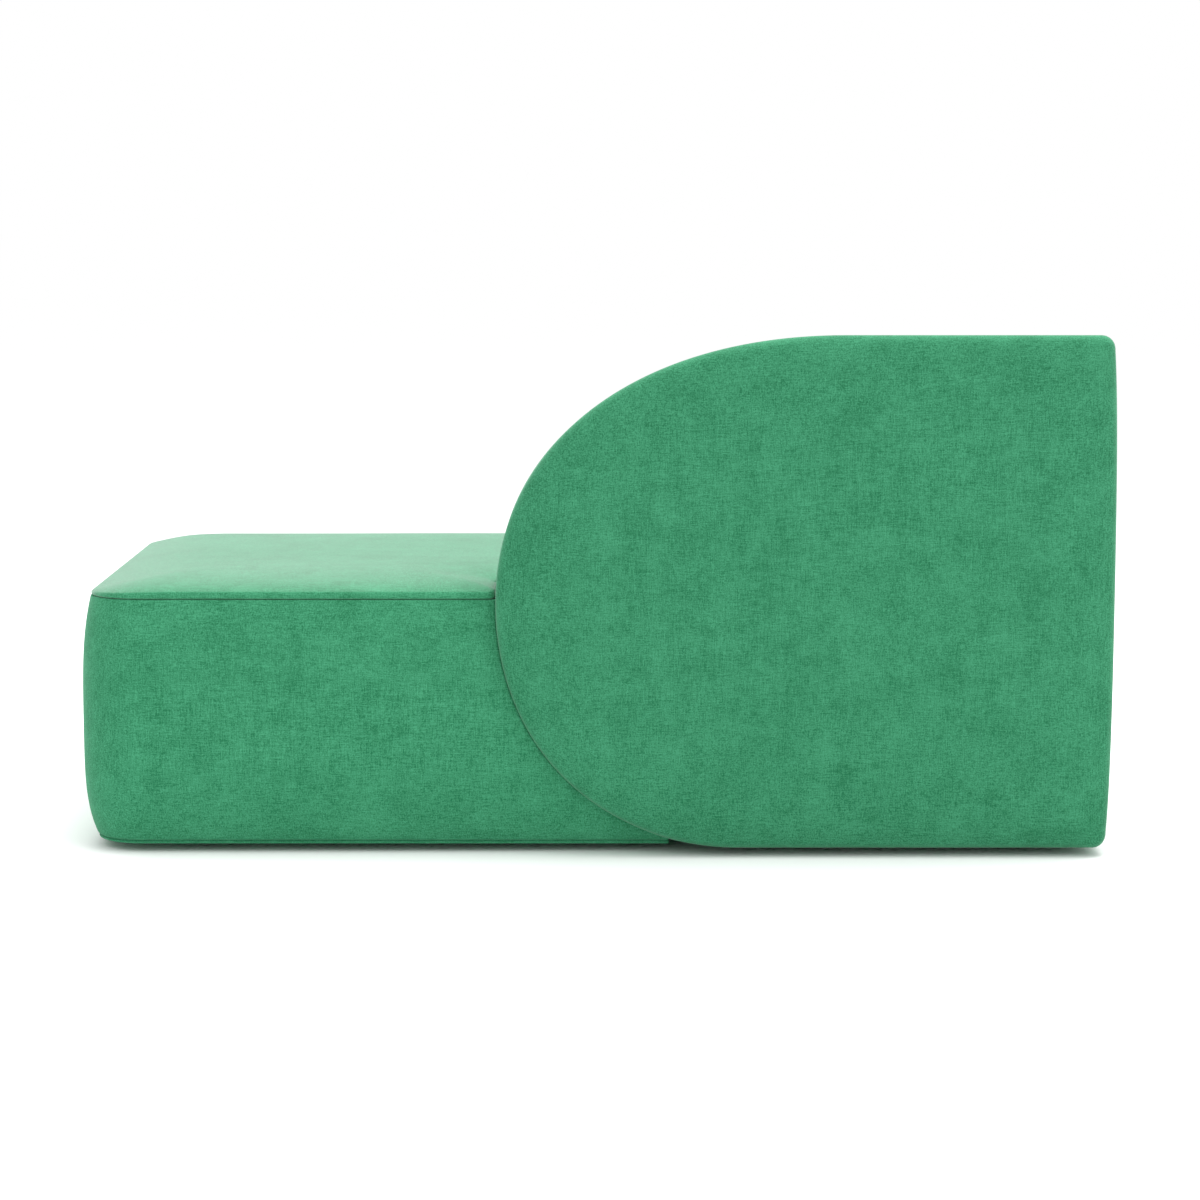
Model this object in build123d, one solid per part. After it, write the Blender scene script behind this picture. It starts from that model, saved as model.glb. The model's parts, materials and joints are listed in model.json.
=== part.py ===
from build123d import *
from math import atan2, degrees
import os

os.makedirs("parts", exist_ok=True)

# An upholstered daybed: a long padded seat on a low timber base, with a padded D-shaped back let into its
# rear edge towards one end. Units are millimetres. X runs along the seat, Y from the back to the open front,
# Z up. The origin is on the floor, under the middle of the whole daybed.

# Overall
length = 1674.0
depth = 900.0
glide_height = 14.0
dust_cover_thick = 1.0
underside = glide_height + dust_cover_thick
skin = 2.5  # cover fabric with its backing
gap = 1.0  # between the seat's cover and the back's cover

# Seat block
back_proud = 32.0  # how far the back stands out behind the seat
seat_rear = -depth / 2 + back_proud
seat_front = depth / 2
seat_top = 432.0
seam_height = 414.0
seat_corner = 100.0  # plan radius of the block's upright corners
seat_edge = 20.0  # rounding of the top edge
seat_hem = 12.0  # rounding of the bottom edge

# Back, a D lying on its side seen from behind
back_top = 844.0
back_thick = 160.0
back_left = -156.0
waist_height = 411.0  # where the D reaches furthest left
upper_centre = 404.0  # where the upper curve has become level
lower_centre = 236.0  # where the lower curve has become level
upper_fullness = 0.61  # share of each quarter's sides that its curve's handles take
lower_fullness = 0.58
back_corner = 14.0
back_edge = 12.0
back_rear = -depth / 2
back_front = back_rear + back_thick

# Back layers, counted forward from its rear face
rear_pad = 8.0
board = 12.0
cavity = 60.0
board_inset = 22.0  # the timber core is this much smaller all round than the back
strip_thick = 5.0
stud = 45.0
rear_board_y = back_rear + skin + rear_pad
cavity_y = rear_board_y + board
front_board_y = cavity_y + cavity
front_foam_y = front_board_y + board

# Base frame, an L in plan because the back takes the rear right-hand part
rail = 25.0
frame_inset = 50.0
rail_bottom = underside + skin
rail_top = 198.0
frame_left = -length / 2 + frame_inset
frame_right = length / 2 - frame_inset
frame_front = seat_front - frame_inset
frame_rear = seat_rear + frame_inset
return_x = -215.0  # right-hand face of the return rail, clear of the back's curve
spine_rear = back_front + 20.0
bearer_top = 150.0
bearer_xs = (-515.0, return_x, 72.0, 412.0)  # right-hand faces of the cross bearers
block_leg = 55.0

# Webbing and the fillings above it
strap_wide = 60.0
strap_thick = 2.0
tack_strip_thick = 3.0
left_strap_xs = [-735.0 + 95.0 * i for i in range(6)]
right_strap_xs = [-165.0 + 95.0 * i for i in range(10)]
felt_z = rail_top + strap_thick + tack_strip_thick
foam_z = felt_z + 4.0
foam_top_z = 350.0
wrap_z = 410.0

# Fasteners
bolt_radius = 4.0
bolt_hole = 4.3
bolt_xs = (190.0, 500.0, 680.0)
bolt_zs = (110.0, 178.0)
spacer_radius = 22.0
spacer_hole = 23.0
screw_radius = 2.5
screw_length = 60.0
screw_head_radius = 4.5
screw_head = 3.5
screw_zs = (60.0, 130.0)
glide_radius = 20.0
glide_screw_radius = 2.0
glide_screw_length = 34.0
glide_head_radius = 4.0
glide_head = 3.0
glide_recess = 6.0
clearance = 0.1
glide_spots = [
    (-740.0, frame_front - rail / 2),
    (0.0, frame_front - rail / 2),
    (740.0, frame_front - rail / 2),
    (frame_left + rail / 2, -270.0),
    (bearer_xs[0] - rail / 2, -270.0),
    (return_x - rail / 2, -300.0),
    (250.0, spine_rear + rail / 2),
    (740.0, spine_rear + rail / 2),
]


def span(x0, x1, y0, y1, z0, z1):
    """A box between two corners."""
    return Pos((x0 + x1) / 2, (y0 + y1) / 2, (z0 + z1) / 2) * Box(x1 - x0, y1 - y0, z1 - z0)


def layer(z0, z1):
    """A level slab wider than the daybed."""
    return span(-length, length, -depth, depth, z0, z1)


def slice_of(y0, y1):
    """An upright slab wider than the daybed, across its depth."""
    return span(-length, length, y0, y1, -back_top, 2 * back_top)


def rod(x, y0, y1, z, radius):
    """A cylinder along Y."""
    return Pos(x, (y0 + y1) / 2, z) * Rot(90, 0, 0) * Cylinder(radius, abs(y1 - y0))


def peg(x, y, z0, z1, radius):
    """A cylinder along Z."""
    return Pos(x, y, (z0 + z1) / 2) * Cylinder(radius, z1 - z0)


def back_form(inset, y0, y1, rounding=0.0):
    """The back's D between two depths, drawn in by an inset, with its rims rounded if asked."""
    left, right = back_left + inset, length / 2 - inset
    low, high = underside + inset, back_top - inset

    def at(x, z):
        return Vector(x, y0, z)

    def quarter(centre, level, fullness):
        """From the waist to a level line, each handle a share of its own side."""
        return Bezier(
            at(left, waist_height),
            at(left, waist_height + fullness * (level - waist_height)),
            at(centre - fullness * (centre - left), level),
            at(centre, level),
        )

    outline = Wire(
        [
            quarter(upper_centre, high, upper_fullness),
            Line(at(upper_centre, high), at(right, high)),
            Line(at(right, high), at(right, low)),
            Line(at(right, low), at(lower_centre, low)),
            quarter(lower_centre, low, lower_fullness),
        ]
    )
    form = extrude(Face(outline), amount=y1 - y0, dir=(0, 1, 0))
    upright = form.edges().filter_by(Axis.Y).group_by(Axis.X)[-1]
    form = fillet(upright, max(back_corner - inset, 1.0))
    if rounding:
        rims = form.faces().filter_by(Axis.Y).edges()
        form = fillet(rims, rounding)
    return form


def seat_form(inset):
    """The seat block drawn in by an inset, with room cut for the back."""
    plan = RectangleRounded(
        length - 2 * inset,
        seat_front - seat_rear - 2 * inset,
        seat_corner - inset,
    )
    block = extrude(plan, amount=seat_top - underside - 2 * inset)
    block = Pos(0, (seat_front + seat_rear) / 2, underside + inset) * block
    block = fillet(block.faces().sort_by(Axis.Z)[-1].edges(), seat_edge - inset)
    block = fillet(block.faces().sort_by(Axis.Z)[0].edges(), seat_hem - inset)
    return block - back_form(-gap - inset, 2 * back_rear, back_front + gap + inset)


def frame_plan(inset, z0, z1):
    """The L of the base frame, drawn in by an inset, between two heights."""
    left, right = frame_left + inset, frame_right - inset
    front = frame_front - inset
    corners = [
        (left, frame_rear + inset),
        (return_x - inset, frame_rear + inset),
        (return_x - inset, spine_rear + inset),
        (right, spine_rear + inset),
        (right, front),
        (left, front),
    ]
    plan = make_face(Polyline(*corners, close=True))
    return Pos(0, 0, z0) * extrude(plan, amount=z1 - z0)


# Base frame


def bearer_rear(x):
    """The rail face that a cross bearer butts against at its rear end."""
    return frame_rear + rail if x < return_x - rail else spine_rear + rail


def frame_rails():
    """The six rails of the L and the cross bearers, by name, before drilling."""
    inner_front = frame_front - rail
    z0, z1 = rail_bottom, rail_top
    rails = {
        "front_rail": span(frame_left, frame_right, inner_front, frame_front, z0, z1),
        "left_end_rail": span(
            frame_left, frame_left + rail, frame_rear + rail, inner_front, z0, z1
        ),
        "right_end_rail": span(
            frame_right - rail, frame_right, spine_rear + rail, inner_front, z0, z1
        ),
        "rear_rail": span(frame_left, return_x, frame_rear, frame_rear + rail, z0, z1),
        "return_rail": span(
            return_x - rail, return_x, frame_rear + rail, spine_rear, z0, z1
        ),
        "spine_rail": span(
            return_x - rail, frame_right, spine_rear, spine_rear + rail, z0, z1
        ),
    }
    for i, x in enumerate(bearer_xs, start=1):
        rails[f"cross_bearer_{i}"] = span(
            x - rail, x, bearer_rear(x), inner_front, z0, bearer_top
        )
    return rails


def corner_blocks():
    """Glued triangular blocks in the frame's inner corners."""
    inner_front = frame_front - rail
    corners = [
        (frame_left + rail, frame_rear + rail, 1, 1),
        (frame_left + rail, inner_front, 1, -1),
        (frame_right - rail, inner_front, -1, -1),
        (frame_right - rail, spine_rear + rail, -1, 1),
        (return_x - rail, frame_rear + rail, -1, 1),
        (return_x, spine_rear + rail, 1, 1),
    ]
    blocks = []
    for x, y, sx, sy in corners:
        plan = make_face(
            Polyline((x, y), (x + sx * block_leg, y), (x, y + sy * block_leg), close=True)
        )
        block = extrude(plan, amount=bearer_top - 2 * rail, dir=(0, 0, 1))
        blocks.append(Pos(0, 0, rail_bottom + rail) * block)
    return blocks


def screw_places():
    """(x, y of the head's face, direction along Y) of every frame screw, one per height in screw_zs."""
    end_xs = (frame_left + rail / 2, frame_right - rail / 2)
    bearers = [x - rail / 2 for x in bearer_xs]
    front = [(x, frame_front, -1) for x in (*end_xs, *bearers)]
    rear = [(x, frame_rear, 1) for x in (end_xs[0], bearers[0], bearers[1])]
    spine = [(x, spine_rear, 1) for x in (*bearers[2:], end_xs[1])]
    return front + rear + spine


def frame_screw(x, y, way, z, grow=0.0):
    """A countersunk screw driven along Y, its head flush with the rail."""
    head_end = y + way * screw_head
    head = rod(x, y, head_end, z, screw_head_radius + grow)
    return head + rod(x, y, y + way * (screw_length + grow), z, screw_radius + grow)


def all_frame_screws(grow=0.0):
    return [frame_screw(x, y, way, z, grow) for x, y, way in screw_places() for z in screw_zs]


# Webbing


def webbing_and_strips():
    """Elastic straps across the rails, and the strips that hold their ends down."""
    strap_top = rail_top + strap_thick
    rears = [(x, frame_rear) for x in left_strap_xs] + [(x, spine_rear) for x in right_strap_xs]
    half = strap_wide / 2
    straps = [
        span(x - half, x + half, rear, frame_front, rail_top, strap_top)
        for x, rear in rears
    ]
    runs = [
        (frame_left, frame_right, frame_front - rail),
        (frame_left, return_x, frame_rear),
        (return_x - rail, frame_right, spine_rear),
    ]
    strips = [span(x0, x1, y, y + rail, strap_top, felt_z) for x0, x1, y in runs]
    return straps, strips


# Fixings between the seat and the back


def bolt_places():
    return [(x, z) for x in bolt_xs for z in bolt_zs]


def spacer_ways():
    """Round clearances for the spacers, through everything soft between the two frames."""
    return [
        rod(x, front_foam_y, spine_rear, z, spacer_hole) for x, z in bolt_places()
    ]


def bolt_set(x, z):
    """(bolt, washer, spacer, T-nut) at one place."""
    inner = spine_rear + rail
    washer_thick = 2.0
    nut_flange = 1.5
    barrel = 9.0
    washer = rod(x, inner, inner + washer_thick, z, 9.0)
    washer -= rod(x, inner, inner + washer_thick, z, bolt_hole)
    head_y = inner + washer_thick
    shank_end = front_board_y - nut_flange - 4.0
    bolt = rod(x, head_y, head_y + 5.0, z, 7.0) + rod(x, shank_end, head_y, z, bolt_radius)
    socket = extrude(
        Plane(origin=(x, head_y + 5.0, z), z_dir=(0, 1, 0)) * RegularPolygon(2.9, 6),
        amount=-3.0,
    )
    bolt -= socket
    spacer = rod(x, front_foam_y, spine_rear, z, spacer_radius)
    spacer -= rod(x, front_foam_y, spine_rear, z, bolt_hole)
    nut = rod(x, front_board_y - nut_flange, front_board_y, z, 11.0)
    nut += rod(x, front_board_y, front_board_y + barrel, z, 5.5)
    nut -= rod(x, front_board_y - nut_flange, front_board_y + barrel, z, bolt_radius + 0.05)
    return bolt, washer, spacer, nut


def board_hole(x, z):
    """The stepped hole in the back's front board for a T-nut's barrel and its bolt."""
    wide = rod(x, front_board_y, front_board_y + 9.0, z, 5.5 + clearance)
    return wide + rod(x, front_board_y, front_foam_y, z, bolt_hole)


# Feet


def glide(x, y):
    disc = peg(x, y, 0, glide_height, glide_radius)
    disc = chamfer(disc.edges().group_by(Axis.Z)[0], 1.5)
    disc -= peg(x, y, 0, glide_recess, glide_head_radius + 1.0)
    return disc - peg(x, y, 0, glide_height, glide_screw_radius + clearance)


def glide_screw(x, y, grow=0.0):
    head = peg(x, y, glide_recess - glide_head, glide_recess, glide_head_radius)
    top = glide_recess + glide_screw_length + grow
    return head + peg(x, y, glide_recess, top, glide_screw_radius + grow)


def glide_ways():
    """What the glide screws pass through is drilled with these."""
    return [glide_screw(x, y, clearance) for x, y in glide_spots]


# Back core


def back_core():
    """Outside of the boards and the cavity between them."""
    return back_form(board_inset, rear_board_y, front_foam_y)


def back_timbers():
    """Members between the two boards: a bent strip round the curve, rails, a post and two studs."""
    y0, y1 = cavity_y, front_board_y
    hollow = back_form(board_inset + strip_thick, y0, y1)
    ring = back_form(board_inset, y0, y1) - hollow
    right = length / 2 - board_inset
    low, high = underside + board_inset, back_top - board_inset
    start = upper_centre
    inside = hollow & span(-length, start, y0, y1, 0, back_top)
    squared = back_form(board_inset, y0, y1)
    return {
        "bent_edge_strip": ring & span(-length, start, y0, y1, 0, back_top),
        "back_top_rail": squared & span(start, right, y0, y1, high - stud, high),
        "back_bottom_rail": squared & span(start, right, y0, y1, low, low + stud),
        "back_end_post": squared
        & span(right - stud, right, y0, y1, low + stud, high - stud),
        "back_middle_stud": span(start, start + stud, y0, y1, low + stud, high - stud),
        "back_left_stud": inside & span(80.0, 80.0 + stud, y0, y1, 0, back_top),
    }


def cut(shape, tools):
    """Shape less every tool."""
    for tool in tools:
        shape = shape - tool
    return shape


def build():
    """Every piece by its name, as one shape or a list of like solids."""
    pieces = {}

    # Seat cover and fillings, all cut from the seat's inner form
    outer, inner = seat_form(0.0), seat_form(skin)
    cover = outer - inner
    ways, screws = spacer_ways(), glide_ways()
    pieces["seat_top_cover"] = cover & layer(seam_height, seat_top + 1)
    band = cover & layer(0, seam_height)
    band = band - frame_plan(rail / 2, 0, rail_bottom + 1)
    pieces["seat_side_cover"] = cut(band, ways + screws)
    dust = frame_plan(rail / 4, glide_height, underside)
    pieces["dust_cover"] = cut(dust, screws)
    padding = (inner & layer(0, foam_z)) - frame_plan(0, 0, seat_top)
    pieces["side_padding"] = cut(padding, ways)
    pieces["felt_pad"] = frame_plan(0, felt_z, foam_z)
    pieces["seat_foam_base"] = inner & layer(foam_z, foam_top_z)
    pieces["seat_foam_top"] = inner & layer(foam_top_z, wrap_z)
    pieces["seat_fibre_wrap"] = inner & layer(wrap_z, seat_top)

    # Base frame, drilled for its screws, the back's bolts and the glides
    bolt_ways = [
        rod(x, spine_rear, spine_rear + rail, z, bolt_hole) for x, z in bolt_places()
    ]
    frame_ways = all_frame_screws(clearance) + screws + bolt_ways
    for name, timber in frame_rails().items():
        pieces[name] = cut(timber, frame_ways)
    pieces["corner_blocks"] = corner_blocks()
    pieces["frame_screws"] = all_frame_screws()
    pieces["elastic_webbing"], pieces["tack_strips"] = webbing_and_strips()

    # Back cover and fillings
    back_outer = back_form(0.0, back_rear, back_front, back_edge)
    back_inner = back_form(skin, back_rear + skin, back_front - skin, back_edge - skin)
    shell = back_outer - back_inner
    rear_seam, front_seam = back_rear + back_edge, back_front - back_edge
    pieces["back_rear_cover"] = shell & slice_of(2 * back_rear, rear_seam)
    pieces["back_band_cover"] = shell & slice_of(rear_seam, front_seam)
    pieces["back_front_cover"] = cut(shell & slice_of(front_seam, 0), ways)
    pieces["back_rear_padding"] = back_inner & slice_of(2 * back_rear, rear_board_y)
    front_foam = back_inner & slice_of(front_foam_y, 0)
    pieces["back_front_foam"] = cut(front_foam, ways)
    between_boards = back_inner & slice_of(rear_board_y, front_foam_y)
    pieces["back_edge_padding"] = between_boards - back_core()

    # Back core
    pieces["back_rear_board"] = back_form(board_inset, rear_board_y, cavity_y)
    front_board = back_form(board_inset, front_board_y, front_foam_y)
    holes = [board_hole(x, z) for x, z in bolt_places()]
    pieces["back_front_board"] = cut(front_board, holes)
    pieces.update(back_timbers())

    # Fixings and feet
    sets = [bolt_set(x, z) for x, z in bolt_places()]
    for name, group in zip(("back_bolts", "washers", "spacers", "t_nuts"), zip(*sets)):
        pieces[name] = list(group)
    pieces["glides"] = [glide(x, y) for x, y in glide_spots]
    pieces["glide_screws"] = [glide_screw(x, y) for x, y in glide_spots]
    return pieces


for name, shape in build().items():
    solids = shape if isinstance(shape, list) else [shape]
    solids = [solid for item in solids for solid in item.solids()]
    whole = Compound(children=solids) if len(solids) > 1 else solids[0]
    export_step(whole, f"parts/{name}.step")
    box = whole.bounding_box()
    print(f"{name}: {len(solids)} solid(s), {box.size.X:.1f} x {box.size.Y:.1f} x {box.size.Z:.1f} mm")
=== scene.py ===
import json
import math

import bmesh
import bpy
import numpy as np
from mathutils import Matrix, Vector, noise


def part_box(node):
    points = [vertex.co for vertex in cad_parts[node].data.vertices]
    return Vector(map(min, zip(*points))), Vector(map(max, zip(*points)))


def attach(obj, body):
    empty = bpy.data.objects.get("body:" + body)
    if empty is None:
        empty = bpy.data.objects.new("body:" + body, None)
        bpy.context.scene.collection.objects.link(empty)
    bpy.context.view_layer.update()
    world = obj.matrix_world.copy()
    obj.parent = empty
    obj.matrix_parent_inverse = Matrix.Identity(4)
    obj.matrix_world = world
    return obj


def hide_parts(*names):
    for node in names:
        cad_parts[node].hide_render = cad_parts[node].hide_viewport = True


# Upholstered daybed: a long padded seat with a padded D-shaped back let into its rear edge.
# Metres throughout, +Z up, the back towards -Y, origin on the floor under the middle.

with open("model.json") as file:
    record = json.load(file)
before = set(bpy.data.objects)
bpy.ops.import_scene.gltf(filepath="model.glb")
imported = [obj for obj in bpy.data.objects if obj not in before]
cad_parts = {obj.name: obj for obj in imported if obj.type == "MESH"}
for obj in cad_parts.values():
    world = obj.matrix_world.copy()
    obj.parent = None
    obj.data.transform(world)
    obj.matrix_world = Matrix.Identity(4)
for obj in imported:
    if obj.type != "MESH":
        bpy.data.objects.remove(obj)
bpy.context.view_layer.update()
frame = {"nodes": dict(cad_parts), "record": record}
record = frame["record"]
scene = bpy.context.scene
up, down = Vector((0, 0, 1)), Vector((0, 0, -1))
forward, rearward = Vector((0, 1, 0)), Vector((0, -1, 0))
tiny = 1e-6  # two heights closer than this are the same
sliver = 1e-4  # no cut is made nearer to a rim than this
print("frame loaded,", len(frame["nodes"]), "nodes")


def boxOf(*nodes):
    corners = [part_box(n) for n in nodes]
    low = Vector([min(c[0][k] for c in corners) for k in range(3)])
    high = Vector([max(c[1][k] for c in corners) for k in range(3)])
    return low, high


seatLow, seatHigh = boxOf("seat_top_cover", "seat_side_cover")
backLow, backHigh = boxOf("back_rear_cover", "back_band_cover", "back_front_cover")


class Link:  # a node's output that takes Python operators
    def __init__(self, finish, socket):
        self.finish, self.socket = finish, socket

    def maths(self, operation, a, b):
        return self.finish.node("ShaderNodeMath", {"operation": operation}, {0: a, 1: b})

    def __add__(self, other):
        return self.maths("ADD", self, other)

    def __sub__(self, other):
        return self.maths("SUBTRACT", self, other)

    def __rsub__(self, other):
        return self.maths("SUBTRACT", other, self)

    def __mul__(self, other):
        return self.maths("MULTIPLY", self, other)

    __radd__ = __add__
    __rmul__ = __mul__


class Finish:  # one material, with the shader's own constants set by name
    def __init__(self, name, **shaderValues):
        self.material = bpy.data.materials.new(name)
        self.material.use_nodes = True
        self.tree = self.material.node_tree
        self.shader = self.tree.nodes["Principled BSDF"]
        for key, value in shaderValues.items():
            self.shader.inputs[key.replace("_", " ")].default_value = value
        self.place = self.node("ShaderNodeTexCoord", {}, {}, "Object")

    def node(self, kind, settings, values, out=0):
        made = self.tree.nodes.new(kind)
        for key, value in settings.items():
            setattr(made, key, value)
        for key, value in values.items():
            if isinstance(value, Link):
                self.tree.links.new(value.socket, made.inputs[key])
            else:
                made.inputs[key].default_value = value
        return Link(self, made.outputs[out])

    def stretched(self, x, y, z):
        return self.node("ShaderNodeMapping", {}, {"Vector": self.place, "Scale": (x, y, z)})

    def noise(self, where, scale=1.0, detail=2.0, roughness=0.55):
        values = {"Vector": where, "Scale": scale, "Detail": detail, "Roughness": roughness}
        return self.node("ShaderNodeTexNoise", {}, values)

    def between(self, value, low, high):  # 0 below low, 1 above high
        values = {"Value": value, "From Min": low, "From Max": high}
        return self.node("ShaderNodeMapRange", {"clamp": True}, values)

    def blend(self, factor, a, b):
        values = {0: factor, 6: a, 7: b}
        return self.node("ShaderNodeMix", {"data_type": "RGBA"}, values, 2)

    def feed(self, socket, link):
        self.tree.links.new(link.socket, self.shader.inputs[socket])

    def bump(self, height, depth, strength):
        values = {"Height": height, "Distance": depth, "Strength": strength}
        self.feed("Normal", self.node("ShaderNodeBump", {}, values))


noiseMiddle = 0.5  # what a noise node gives on average

clothLook = {
    "shade": (0.0135, 0.152, 0.064),
    "light": (0.060, 0.318, 0.165),
    "tone": {"side": 0.965, "top": 1.0, "back": 0.895},  # how light each panel's cloth is made: painted shade, the same cloth darker on the upright band and darker still on the back
    "threadFine": 700.0,  # slubs per metre across and along their run
    "threadLong": 60.0,
    "cloudFine": 26.0,  # brushed patches, likewise
    "cloudLong": 8.0,
    "pile": 480.0,  # tufts per metre
    "threadStrength": 1.35,
    "cloudStrength": 0.46,
    "pileStrength": 1.5,
    "relief": 0.4,  # share of the threads and of the pile in the bump
    "reliefStrength": 0.5,
    "depth": 0.0007,
    "roughness": 0.92,
    "specular": 0.2,
    "sheen": {"side": 0.20, "top": 0.54, "back": 0.26},  # the pile lies down the upright panels
    "sheenRoughness": 0.40,
    "sheenTint": {"side": (0.55, 1, 0.78, 1), "top": (1, 1, 1, 1), "back": (0.70, 1, 0.85, 1)},
}


def runs(f, fine, along, detail):  # noise drawn out along X, along Y and along Z, added together
    total = 0.0
    for axis in range(3):
        scale = [along if k == axis else fine for k in range(3)]
        total = f.noise(f.stretched(*scale), detail=detail) + total
    return total


def chenille(panel, look):
    f = Finish(
        panel + "Chenille", Roughness=look["roughness"], Specular_IOR_Level=look["specular"],
        Sheen_Weight=look["sheen"][panel], Sheen_Roughness=look["sheenRoughness"],
        Sheen_Tint=look["sheenTint"][panel],
    )
    threads = runs(f, look["threadFine"], look["threadLong"], 2)
    clouds = runs(f, look["cloudFine"], look["cloudLong"], 3)
    pile = f.noise(f.place, look["pile"], detail=1)
    tone = (threads - 3 * noiseMiddle) * look["threadStrength"]
    tone = tone + (clouds - 3 * noiseMiddle) * look["cloudStrength"]
    tone = tone + (pile - noiseMiddle) * look["pileStrength"] + noiseMiddle
    # the panel's tone darkens the same cloth a little on the upright band and more on the back: painted
    # shade
    shade, light = [(*[v * look["tone"][panel] for v in look[key]], 1) for key in ("shade", "light")]
    f.feed("Base Color", f.blend(f.between(tone, 0.0, 1.0), shade, light))
    f.bump(threads * look["relief"] + pile * look["relief"], look["depth"], look["reliefStrength"])
    return f.material


coverCloth = {panel: chenille(panel, clothLook) for panel in clothLook["tone"]}
print("cover cloth ready")


def roundCorner(bm, vert, radius, segments):
    bmesh.ops.bevel(
        bm, geom=[vert], offset=radius, offset_type="OFFSET", segments=segments,
        profile=0.5, affect="VERTICES", material=-1,
    )


def planFace(bm, corners, z, pitch):  # corners are (x, y, radius, segments) round the plan
    verts = [bm.verts.new((x, y, z)) for x, y, _, _ in corners]
    bm.faces.new(verts)
    for v, (_, _, radius, segments) in zip(verts, corners):
        if radius:
            roundCorner(bm, v, radius, segments)
    splitLong(bm, bm.edges[:], pitch)
    return bm.faces[:][0]


def splitLong(bm, edges, pitch):
    for edge in edges:
        cuts = round(edge.calc_length() / pitch) - 1
        if cuts > 0:
            bmesh.ops.subdivide_edges(bm, edges=[edge], cuts=cuts)


def pull(bm, face, steps, direction):  # extrudes a face step by step and returns the last one
    first = face
    for step in steps:
        made = bmesh.ops.extrude_face_region(bm, geom=[face])["geom"]
        under, face = face, [g for g in made if isinstance(g, bmesh.types.BMFace)][0]
        bmesh.ops.translate(bm, verts=face.verts[:], vec=direction * step)
        if under is not first:  # no wall is left across the inside
            bmesh.ops.delete(bm, geom=[under], context="FACES_ONLY")
    return face


def faceAt(bm, axis, level):  # the flat face that lies wholly at a level
    return [f for f in bm.faces if all(abs(v.co[axis] - level) < tiny for v in f.verts)][0]


# Rounds a cap's rim by insets, each a little further out. A height makes it taller than wide, and a
# reach under 90 degrees stops it before it is level.
def roundOver(bm, face, direction, radius, segments, height=None, reach=90.0):
    inset, rise = 0.0, 0.0
    height = height or radius
    for i in range(1, segments + 1):
        turn = math.radians(reach) * i / segments
        nextInset, nextRise = radius * (1 - math.cos(turn)), height * math.sin(turn)
        bmesh.ops.inset_region(
            bm, faces=[face], thickness=nextInset - inset, use_even_offset=True, use_boundary=True
        )
        bmesh.ops.translate(bm, verts=face.verts[:], vec=direction * (nextRise - rise))
        inset, rise = nextInset, nextRise


# Cuts a flat cap into a grid, and marks it. The edging is the widths of closer cuts in from the rim,
# and the extra cuts are (axis, spot).
def crosscut(bm, face, axes, pitch, edging=(), extra=()):
    face.material_index = 1
    corners = [v.co.copy() for v in face.verts]
    for axis in axes:
        low, high = min(c[axis] for c in corners), max(c[axis] for c in corners)
        inner, outer = low + sum(edging), high - sum(edging)
        count = round((outer - inner) / pitch)
        spots = {round(inner + (outer - inner) * i / count, 5) for i in range(count + 1)}
        for i in range(1, len(edging)):
            spots |= {round(low + sum(edging[:i]), 5), round(high - sum(edging[:i]), 5)}
        spots |= {round(spot, 5) for on, spot in extra if on == axis}
        across = Vector([1.0 if k == axis else 0.0 for k in range(3)])
        for spot in sorted(spots):
            if not low + sliver < spot < high - sliver:
                continue
            marked = [f for f in bm.faces if f.material_index == 1]
            edges = {e for f in marked for e in f.edges}
            verts = {v for f in marked for v in f.verts}
            bmesh.ops.bisect_plane(
                bm, geom=[*verts, *edges, *marked], dist=1e-5, plane_co=across * spot, plane_no=across
            )


def newPiece(name, bm, material):
    bmesh.ops.recalc_face_normals(bm, faces=bm.faces[:])
    for f in bm.faces:
        f.material_index = 0
        f.smooth = True
    mesh = bpy.data.meshes.new(name)
    bm.to_mesh(mesh)
    bm.free()
    mesh.materials.append(material)
    piece = bpy.data.objects.new(name, mesh)
    scene.collection.objects.link(piece)
    return piece


def ease(t):
    t = min(max(t, 0.0), 1.0)
    return t * t * (3 - 2 * t)


def ripple(x, y, z):  # slow unevenness of the stuffing
    return noise.noise(Vector((x, y, z)))


backLook = {
    "waist": 0.411,  # height where the D reaches furthest left
    "upperCentre": 0.404,  # x where the level top and bottom edges end
    "lowerCentre": 0.236,
    "upperFullness": 0.60,
    "lowerFullness": 0.58,
    "curveSteps": 52,
    "corner": 0.0200,  # plan of the two square corners
    "cornerSegments": 5,
    "rim": 0.0220,
    "rimTurn": 55.0,  # degrees, where the rim runs into the crown
    "rimSegments": 6,
    "depthSteps": 8,
    "crown": 0.016,
    "frontCrown": 0.010,
    "crownReach": 0.14,
    "crownPower": 5.0,
    "edging": (0.004, 0.004, 0.005, 0.006, 0.008, 0.010, 0.012),  # cuts in from the rim
    "ripple": 0.0012,
    "rippleScale": 4.0,
    "rippleSlice": 2.0,
    "setIn": 0.006,  # the rear edge behind the crown
    "drop": 0.0025,  # the lowest edge hangs this much lower
    "dropFrom": 0.06,
    "dropOver": 0.05,
    "lean": 0.010,  # the top falls this much from the rear rim to the front
    "leanFrom": 0.45,
    "leanOver": 0.35,
    "endBow": 0.0050,  # the free end swells this much at mid-height
    "endBowPower": 2.4,
    "endTuck": 0.001,  # and draws in everywhere, and more at its top and bottom
    "tipTuck": 0.004,
    "tipPower": 6,
    "endFrom": 0.70,
    "endOver": 0.13,
    "pitch": 0.015,
}


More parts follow.
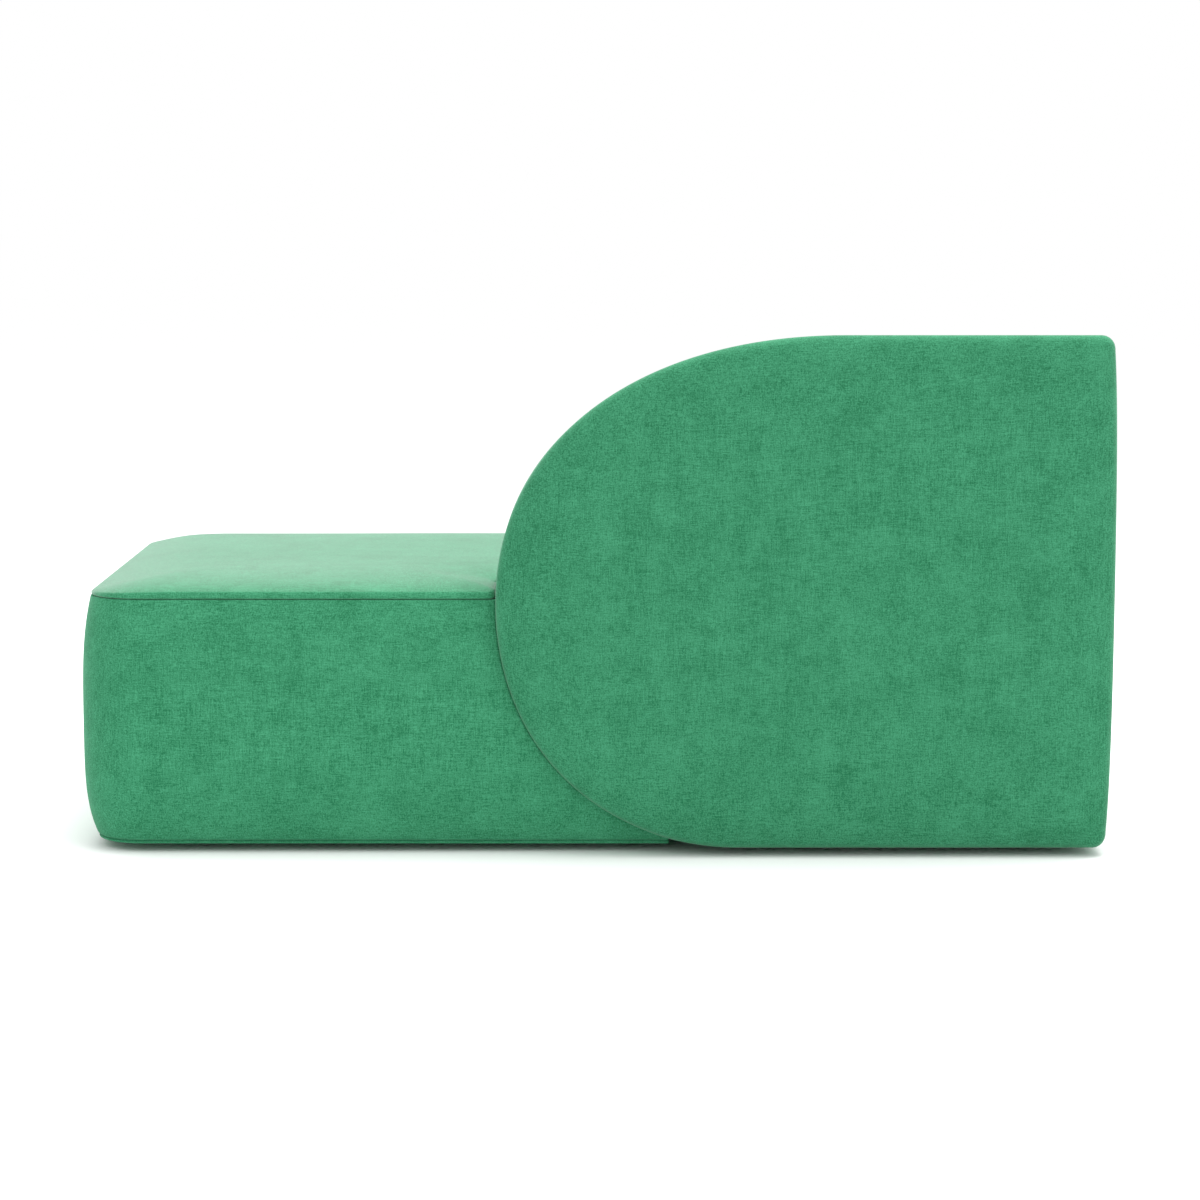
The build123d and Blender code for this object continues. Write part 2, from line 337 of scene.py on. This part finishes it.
def backOutline(look, low, high):  # one closed Bezier curve, sampled by Blender
    left, right, bottom, top = low.x, high.x, low.z, high.z
    waist, above, below = look["waist"], look["upperCentre"], look["lowerCentre"]
    riseLeft, fallLeft = look["upperFullness"] * (top - waist), look["lowerFullness"] * (waist - bottom)
    outAbove, outBelow = look["upperFullness"] * (above - left), look["lowerFullness"] * (below - left)
    third = (top - bottom) / 3
    knots = [  # point, handle before, handle after
        ((left, waist), (left, waist - fallLeft), (left, waist + riseLeft)),
        ((above, top), (above - outAbove, top), (above + (right - above) / 3, top)),
        ((right, top), (right - (right - above) / 3, top), (right, top - third)),
        ((right, bottom), (right, bottom + third), (right - (right - below) / 3, bottom)),
        ((below, bottom), (below + (right - below) / 3, bottom), (below - outBelow, bottom)),
    ]
    curve = bpy.data.curves.new("backOutline", "CURVE")
    curve.dimensions = "3D"
    spline = curve.splines.new("BEZIER")
    spline.bezier_points.add(len(knots) - 1)
    for point, spots in zip(spline.bezier_points, knots):
        point.handle_left_type = point.handle_right_type = "FREE"
        point.co, point.handle_left, point.handle_right = [(x, 0, z) for x, z in spots]
    spline.use_cyclic_u = True
    spline.resolution_u = look["curveSteps"]
    holder = bpy.data.objects.new("backOutline", curve)
    mesh = bpy.data.meshes.new_from_object(holder)
    bpy.data.objects.remove(holder)
    return mesh


outlineMesh = backOutline(backLook, backLow, backHigh)
outline = np.array([v.co for v in outlineMesh.vertices])[:, [0, 2]]
underWaist = outline[:, 1] <= backLook["waist"] + tiny
lowerLeft = outline[underWaist & (outline[:, 0] <= backLook["lowerCentre"])]
lowerLeft = lowerLeft[np.argsort(lowerLeft[:, 1])]


def backEdgeAt(z):  # x of the D's left edge at a height under its waist
    return float(np.interp(z, lowerLeft[:, 1], lowerLeft[:, 0]))


seatLook = {
    "corner": 0.100,  # plan radius of the four upright corners
    "cornerSegments": 14,
    "noseSegments": 5,  # the corner against the back
    "seam": 0.4165,  # height of the seam round the top
    "seamHalf": 0.0004,  # half the slit between the two panels
    "seamRoll": 0.0026,  # how the panels' edges turn into the seam
    "seamRollSegments": 4,
    "seamPull": 0.0165,  # how far the seam draws in from the fullest part of the side
    "gap": -0.0008,  # the seat presses on the back
    "clearance": 0.0015,  # between the recess and the front of the back
    "pitch": 0.016,
}
notchX = backLow.x - seatLook["gap"]
notchY = backHigh.y + seatLook["clearance"]


def seatCorners(inset, nose):  # round the plan, with the recess for the back
    r, segments = seatLook["corner"] - inset, seatLook["cornerSegments"]
    left, right = seatLow.x + inset, seatHigh.x - inset
    rear, front = seatLow.y + inset, seatHigh.y - inset
    return [
        (left, rear, r, segments), (notchX, rear, nose, seatLook["noseSegments"]),
        (notchX, notchY, 0, 0), (right, notchY, 0, 0),
        (right, front, r, segments), (left, front, r, segments),
    ]


# Plan direction out of the seat's rounded outline, and nothing on the walls of the back's recess.
def outwardOf(x, y):
    r = seatLook["corner"]
    x0, y0 = seatLow.x + r, seatLow.y + r
    x1, y1 = seatHigh.x - r, seatHigh.y - r
    out = Vector((x - min(max(x, x0), x1), y - min(max(y, y0), y1), 0))
    return out.normalized() if out.length > 1e-5 else Vector()


bandLook = {
    "nose": 0.005,
    "hemRoll": 0.0016,
    "hemRollSegments": 3,
    "fullest": 0.21,  # height where the side stands out most, and how far
    "fullestOut": 0.0015,
    "seamPower": 3.2,
    "hemPull": 0.023,
    "hemPower": 4,
    "groove": 0.0042,  # the stitched groove over the hem
    "grooveHeight": 0.0190,
    "grooveWidth": 0.0013,
    "hemLevels": (
        0.0150, 0.0160, 0.0170, 0.0178, 0.0186, 0.0194, 0.0202, 0.0212, 0.0226, 0.0245, 0.027, 0.031,
        0.036, 0.043, 0.052,
    ),
    "wallLevels": (0.064, 0.390, 24),
    "seamLevels": (0.398, 0.404, 0.409),
    "followFrom": -0.50,  # from here the rear wall is drawn along to the back's curve
    "followEnd": 0.012,
    "followMost": 0.125,
    "rearWall": 0.004,  # what counts as the rear wall and as the recess
    "recessWall": 0.006,
}


def sideSwell(z, look):  # how far the side stands out from the CAD outline, by height
    mid = look["fullest"]
    if z > mid:
        pulled = seatLook["seamPull"] * ((z - mid) / (seatLook["seam"] - mid)) ** look["seamPower"]
    else:
        pulled = look["hemPull"] * ((mid - z) / (mid - seatLow.z)) ** look["hemPower"]
    groove = look["groove"] * math.exp(-(((z - look["grooveHeight"]) / look["grooveWidth"]) ** 2))
    return look["fullestOut"] - pulled - groove


def sideBand(look):
    bm = bmesh.new()
    roll = seatLook["seamRoll"]
    levels = [*look["hemLevels"], *np.linspace(*look["wallLevels"]), *look["seamLevels"]]
    levels.append(seatLook["seam"] - seatLook["seamHalf"] - roll)
    base = planFace(bm, seatCorners(0, look["nose"]), levels[0], seatLook["pitch"])
    last = pull(bm, base, np.diff(levels), up)
    bottom = faceAt(bm, 2, levels[0])
    roundOver(bm, last, up, roll, seatLook["seamRollSegments"])
    roundOver(bm, bottom, down, look["hemRoll"], look["hemRollSegments"])
    followLength = notchX - look["followEnd"] - look["followFrom"]
    for v in bm.verts:
        x, y, z = v.co
        shift = min(backEdgeAt(z) - seatLook["gap"], look["followMost"]) - notchX
        if y < notchY - look["rearWall"] and x > look["followFrom"]:
            v.co.x += shift * ease((x - look["followFrom"]) / followLength)
        elif x > notchX - look["recessWall"] and y < notchY + look["rearWall"]:
            v.co.x = x + shift * (seatHigh.x - x) / (seatHigh.x - notchX)
        v.co += outwardOf(x, y) * sideSwell(z, look)
    return newPiece("seatSideBand", bm, coverCloth["side"])


topLook = {
    "nose": 0.014,
    "overhang": 0.001,  # how far the panel stands out past the band at the seam
    "edgeHeight": 0.001,
    "shoulder": 0.010,  # the rounded edge, across and up
    "shoulderRise": 0.0110,
    "shoulderTurn": 42.0,  # degrees, where it runs into the crown
    "shoulderSegments": 5,
    "edging": (0.003, 0.003, 0.004, 0.004, 0.005, 0.006, 0.008, 0.010, 0.012),  # cuts in from the rim
    "recessCut": 0.006,  # and cuts beside the recess
    "recessCuts": range(2, 9),
    "crowns": ((0.0040, 0.16, 8.0), (0.0150, 0.25, 3.0)),  # rise, reach, power: one tight, one broad
    "recessReach": 0.3,  # the recess pulls the cloth down this far off, but not fully
    "recessSlack": 0.010,
    "ripple": 0.0016,
    "rippleScale": 3.1,
    "rippleSlice": 0.3,
    "endSoftness": 0.58,  # the share of height lost towards the ends
    "endReach": 0.15,
}


def topPanel(look):
    bm = bmesh.new()
    roll, shoulder = seatLook["seamRoll"], look["shoulder"]
    inset = seatLook["seamPull"] - look["overhang"]
    base = seatLook["seam"] + seatLook["seamHalf"] + roll
    face = planFace(bm, seatCorners(inset, look["nose"]), base, seatLook["pitch"])
    last = pull(bm, face, [look["edgeHeight"]], up)
    bottom = faceAt(bm, 2, base)
    roundOver(bm, bottom, down, roll, seatLook["seamRollSegments"])
    roundOver(bm, last, up, shoulder, look["shoulderSegments"], look["shoulderRise"], look["shoulderTurn"])
    level = max(v.co.z for v in bm.verts)
    beside = [look["recessCut"] * i for i in look["recessCuts"]]
    extra = [(0, notchX - d) for d in beside] + [(1, notchY + d) for d in beside]
    crosscut(bm, last, (0, 1), seatLook["pitch"], look["edging"], extra)
    x0, x1 = seatLow.x + inset, seatHigh.x - inset
    y0, y1 = seatLow.y + inset, seatHigh.y - inset
    r = seatLook["corner"] - inset
    edge = shoulder * (1 - math.cos(math.radians(look["shoulderTurn"])))
    for v in bm.verts:
        x, y, z = v.co
        inX, inY = min(x - x0, x1 - x), min(y - y0, y1 - y)
        kept = 1 - look["endSoftness"] * max(1 - inX / look["endReach"], 0) ** 2
        if z >= level - tiny:  # the cap, by its depth in from the outline
            depth = r - math.hypot(r - inX, r - inY) if inX < r and inY < r else min(inX, inY)
            if x > notchX - look["recessReach"] and y < notchY + look["recessReach"]:
                toRecess = math.hypot(max(notchX - x, 0), max(y - notchY, 0))
                depth = min(depth, toRecess + look["recessSlack"])
            for rise, reach, power in look["crowns"]:
                t = 1 - min(max(depth - edge, 0) / reach, 1)
                v.co.z += rise * (1 - t**power)
            uneven = ripple(x * look["rippleScale"], y * look["rippleScale"], look["rippleSlice"])
            v.co.z += look["ripple"] * uneven * (1 - t**2)
        if z > base:
            v.co.z = base + (v.co.z - base) * kept
    return newPiece("seatTopPanel", bm, coverCloth["top"])


def onStraight(x, z, look):  # true along the straight runs, but not at their ends
    level = min(abs(z - backLow.z), abs(z - backHigh.z)) < tiny
    upright = abs(x - backHigh.x) < tiny
    centre = look["upperCentre"] if z > look["waist"] else look["lowerCentre"]
    return (level and x > centre + 1e-5) != upright


def shapeCap(bm, look, face, way, swell):  # crowns the rear or the front of the back
    crosscut(bm, face, (0, 2), look["pitch"], look["edging"])
    edge = look["rim"] * (1 - math.cos(math.radians(look["rimTurn"])))
    for v in {v for f in bm.faces if f.material_index == 1 for v in f.verts}:
        depth = np.sqrt(((outline - (v.co.x, v.co.z)) ** 2).sum(1).min())
        t = 1 - min(max(depth - edge, 0) / look["crownReach"], 1)
        uneven = ripple(v.co.x * look["rippleScale"], look["rippleSlice"], v.co.z * look["rippleScale"])
        v.co.y += way * (swell * (1 - t ** look["crownPower"]) + look["ripple"] * uneven * (1 - t))
    for f in bm.faces:
        f.material_index = 0


def backCushion(look):
    bm = bmesh.new()
    bm.from_mesh(outlineMesh)
    bmesh.ops.contextual_create(bm, geom=bm.edges[:])
    straight = [v for v in bm.verts if onStraight(v.co.x, v.co.z, look)]
    bmesh.ops.dissolve_verts(bm, verts=straight)
    for z in (backLow.z, backHigh.z):
        corner = min(bm.verts, key=lambda v: (v.co - Vector((backHigh.x, 0, z))).length)
        roundCorner(bm, corner, look["corner"], look["cornerSegments"])
    splitLong(bm, bm.edges[:], look["pitch"])
    rim, steps = look["rim"], look["depthSteps"]
    rear, front = backLow.y + look["setIn"], backHigh.y
    bmesh.ops.translate(bm, verts=bm.verts[:], vec=(0, rear + rim, 0))
    last = pull(bm, bm.faces[:][0], [(front - rear - 2 * rim) / steps] * steps, forward)
    first = faceAt(bm, 1, rear + rim)
    for face, direction in ((first, rearward), (last, forward)):
        roundOver(bm, face, direction, rim, look["rimSegments"], reach=look["rimTurn"])
    shapeCap(bm, look, first, -1, look["crown"])
    shapeCap(bm, look, last, 1, look["frontCrown"])
    middle, half = (backLow.z + backHigh.z) / 2, (backHigh.z - backLow.z) / 2
    for v in bm.verts:
        x, y, z = v.co
        away = abs((z - middle) / half)
        into = (y - rear) / (front - rear)
        v.co.z -= look["lean"] * ease(into) * ease((z - look["leanFrom"]) / look["leanOver"])
        v.co.z -= look["drop"] * ease((look["dropFrom"] - z) / look["dropOver"])
        bow = look["endBow"] * (1 - away ** look["endBowPower"]) - look["endTuck"]
        bow -= look["tipTuck"] * away ** look["tipPower"]
        v.co.x += bow * ease((x - look["endFrom"]) / look["endOver"])
    return newPiece("backCushion", bm, coverCloth["back"])


seatBand = sideBand(bandLook)
print("seat side band", len(seatBand.data.polygons), "faces")
seatTop = topPanel(topLook)
print("seat top panel", len(seatTop.data.polygons), "faces")
back = backCushion(backLook)
print("back cushion", len(back.data.polygons), "faces")

paddedPieces = (  # piece, how tightly it is filled, and the CAD nodes that it stands for
    (seatBand, 0.85, ("seat_side_cover", "side_padding", "seat_foam_base")),
    (seatTop, 0.75, ("seat_top_cover", "seat_fibre_wrap", "seat_foam_top")),
    (back, 0.8, (
        "back_rear_cover", "back_band_cover", "back_front_cover", "back_rear_padding",
        "back_edge_padding", "back_front_foam",
    )),
)
for piece, fill, nodes in paddedPieces:
    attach(piece, "root")
    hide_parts(*nodes)


woodLooks = {  # scale of the growth pattern across the grain, and how many bands it makes
    "softwood": {
        "early": (0.66, 0.47, 0.27, 1), "late": (0.42, 0.25, 0.11, 1), "across": 42.0, "rings": 21.0,
    },
    "plywood": {
        "early": (0.64, 0.47, 0.28, 1), "late": (0.50, 0.34, 0.18, 1), "across": 15.0, "rings": 12.0,
    },
    "hardboard": {
        "early": (0.20, 0.11, 0.05, 1), "late": (0.13, 0.07, 0.03, 1), "across": 220.0, "rings": 3.0,
    },
}
woodGrain = {
    "specular": 0.3, "along": 0.06, "fibreFiner": 14, "bandTone": 0.35, "fibreTone": 0.8,
    "darkest": 0.8, "smooth": 0.5, "roughBy": 0.3, "bandRelief": 0.2, "depth": 0.0002, "strength": 0.6,
}
plainLooks = {  # two tones, grains per metre along X, Y and Z, and how they are raised
    "felt": {
        "tones": ((0.10, 0.095, 0.09, 1), (0.24, 0.23, 0.22, 1)), "grain": (420, 420, 420),
        "range": (0.35, 0.65), "depth": 0.0012, "shader": {"Roughness": 1.0, "Sheen_Weight": 0.2},
    },
    "dust_cloth": {
        "tones": ((0.008, 0.008, 0.009, 1), (0.024, 0.024, 0.026, 1)), "grain": (900, 300, 900),
        "range": (0.4, 0.6), "depth": 0.0003, "shader": {"Roughness": 0.85, "Specular_IOR_Level": 0.3},
    },
    "webbing": {
        "tones": ((0.015, 0.015, 0.017, 1), (0.20, 0.20, 0.21, 1)), "grain": (700, 90, 700),
        "range": (0.42, 0.75), "depth": 0.0006, "shader": {"Roughness": 0.8},
    },
    "tack_strip": {
        "tones": ((0.36, 0.25, 0.14, 1), (0.52, 0.40, 0.25, 1)), "grain": (260, 900, 900),
        "range": (0.3, 0.7), "depth": 0.0002, "shader": {"Roughness": 0.9},
    },
    "zinc_steel": {
        "tones": ((0.44, 0.45, 0.46, 1), (0.64, 0.65, 0.67, 1)), "grain": (380, 380, 380),
        "range": (0.4, 0.6), "depth": 0.00005, "shader": {"Roughness": 0.34, "Metallic": 1.0},
    },
    "black_nylon": {
        "tones": ((0.010, 0.010, 0.010, 1), (0.020, 0.020, 0.021, 1)), "grain": (2400, 2400, 2400),
        "range": (0.4, 0.6), "depth": 0.0001, "shader": {"Roughness": 0.55},
    },
}
plainMix = {"grain": 0.8, "wide": 0.2, "wideScale": 14.0, "strength": 0.6}  # wide: slow change of tone


def grained(name, look, axis, grain):  # wood with its grain along an axis
    f = Finish(name, Specular_IOR_Level=grain["specular"])
    scale = [look["across"] * (grain["along"] if k == axis else 1.0) for k in range(3)]
    rings = f.noise(f.stretched(*scale), detail=2) * look["rings"]
    bands = f.node("ShaderNodeMath", {"operation": "SINE"}, {0: rings})
    fibre = f.noise(f.stretched(*[v * grain["fibreFiner"] for v in scale]), detail=2)
    tone = bands * grain["bandTone"] + fibre * grain["fibreTone"]
    f.feed("Base Color", f.blend(f.between(tone, 0.0, grain["darkest"]), look["early"], look["late"]))
    f.feed("Roughness", fibre * grain["roughBy"] + grain["smooth"])
    f.bump(fibre + bands * grain["bandRelief"], grain["depth"], grain["strength"])
    return f.material


def plain(name, look, mix):
    f = Finish(name, **look["shader"])
    grain = f.noise(f.stretched(*look["grain"]), detail=3)
    wide = f.noise(f.place, mix["wideScale"], detail=2)
    tone = grain * mix["grain"] + wide * mix["wide"]
    f.feed("Base Color", f.blend(f.between(tone, *look["range"]), *look["tones"]))
    f.bump(grain, look["depth"], mix["strength"])
    return f.material


finishes = {slot: plain(slot, look, plainMix) for slot, look in plainLooks.items()}
for slot, look in woodLooks.items():
    for axis in range(3):
        finishes[slot, axis] = grained(slot + "XYZ"[axis], look, axis, woodGrain)
for part in record["subparts"]:
    node, slot = part["node"], part["material_slot"]
    if slot in woodLooks:  # the grain runs the long way of the piece
        low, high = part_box(node)
        reach = [high[k] - low[k] for k in range(3)]
        slot = slot, reach.index(max(reach))
    if slot in finishes:
        for holder in frame["nodes"][node].material_slots:
            holder.material = finishes[slot]
print("inner parts finished,", len(finishes), "finishes")


dustLook = {"thick": 0.0006, "under": 0.0001, "sag": 0.0030, "reach": 0.07, "pitch": 0.04}
railNodes = (
    "front_rail", "left_end_rail", "right_end_rail", "rear_rail", "return_rail", "spine_rail",
    "cross_bearer_1", "cross_bearer_2", "cross_bearer_3", "cross_bearer_4",
)


def dustCloth(look):
    low, high = boxOf("dust_cover")
    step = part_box("return_rail")[1][0] - (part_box("left_end_rail")[0][0] - low.x)
    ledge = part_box("spine_rail")[0][1] + (low.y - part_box("rear_rail")[0][1])
    corners = [
        (low.x, low.y), (step, low.y), (step, ledge), (high.x, ledge), (high.x, high.y), (low.x, high.y),
    ]
    bm = bmesh.new()
    face = planFace(bm, [(x, y, 0, 0) for x, y in corners], high.z - look["under"], look["pitch"])
    area = face.calc_area()
    crosscut(bm, face, (0, 1), look["pitch"])
    rails = [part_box(node) for node in railNodes]
    made = bmesh.ops.extrude_face_region(bm, geom=bm.faces[:])["geom"]
    below = [g for g in made if isinstance(g, bmesh.types.BMVert)]
    bmesh.ops.translate(bm, verts=below, vec=down * look["thick"])
    for v in bm.verts:  # it hangs a little between the rails that it is stapled to
        away = min(
            math.hypot(max(a[0] - v.co.x, v.co.x - b[0], 0), max(a[1] - v.co.y, v.co.y - b[1], 0))
            for a, b in rails
        )
        v.co.z -= look["sag"] * ease(away / look["reach"])
    piece = newPiece("dustCloth", bm, finishes["dust_cloth"])
    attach(piece, "root")
    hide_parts("dust_cover")


dustCloth(dustLook)

studioLook = {
    "sky": 1.0,
    "floor": (1, 1, 1, 1),
    "floorSize": 60,
    "lights": {
        "overhead": {"size": (5, 4), "energy": 225.0, "spot": (0.4, 0.5, 4.0), "aim": (0, 0, 0.3)},
        "side": {"size": (2, 2.5), "energy": 14.0, "spot": (4.0, -3.2, 2.0), "aim": (0, 0, 0.4)},
    },
}
cameraLook = {"spot": (0.0126, -5.540, 1.081), "dip": 0.1288, "lens": 96.2, "sensor": 36.0, "far": 200}


def areaLight(name, look):
    data = bpy.data.lights.new(name, "AREA")
    data.shape, data.energy = "RECTANGLE", look["energy"]
    data.size, data.size_y = look["size"]
    light = bpy.data.objects.new(name, data)
    light.location = look["spot"]
    aim = Vector(look["aim"]) - Vector(look["spot"])
    light.rotation_euler = aim.to_track_quat("-Z", "Y").to_euler()
    scene.collection.objects.link(light)


world = bpy.data.worlds.new("studio")
world.use_nodes = True
sky = world.node_tree.nodes["Background"]
sky.inputs["Color"].default_value = (1, 1, 1, 1)
sky.inputs["Strength"].default_value = studioLook["sky"]
scene.world = world
for name, look in studioLook["lights"].items():
    areaLight(name, look)

floorBm = bmesh.new()
bmesh.ops.create_grid(floorBm, x_segments=1, y_segments=1, size=studioLook["floorSize"])
floorFinish = Finish("paleFloor", Roughness=1.0, Base_Color=studioLook["floor"], Specular_IOR_Level=0.0)
floor = newPiece("floor", floorBm, floorFinish.material)

cameraData = bpy.data.cameras.new("camera")
cameraData.lens, cameraData.sensor_width = cameraLook["lens"], cameraLook["sensor"]
cameraData.clip_end = cameraLook["far"]
camera = bpy.data.objects.new("camera", cameraData)
camera.location = cameraLook["spot"]
camera.rotation_euler = (math.pi / 2 - cameraLook["dip"], 0, 0)
scene.collection.objects.link(camera)
scene.camera = camera
scene.view_settings.view_transform = "Standard"
print("studio ready")
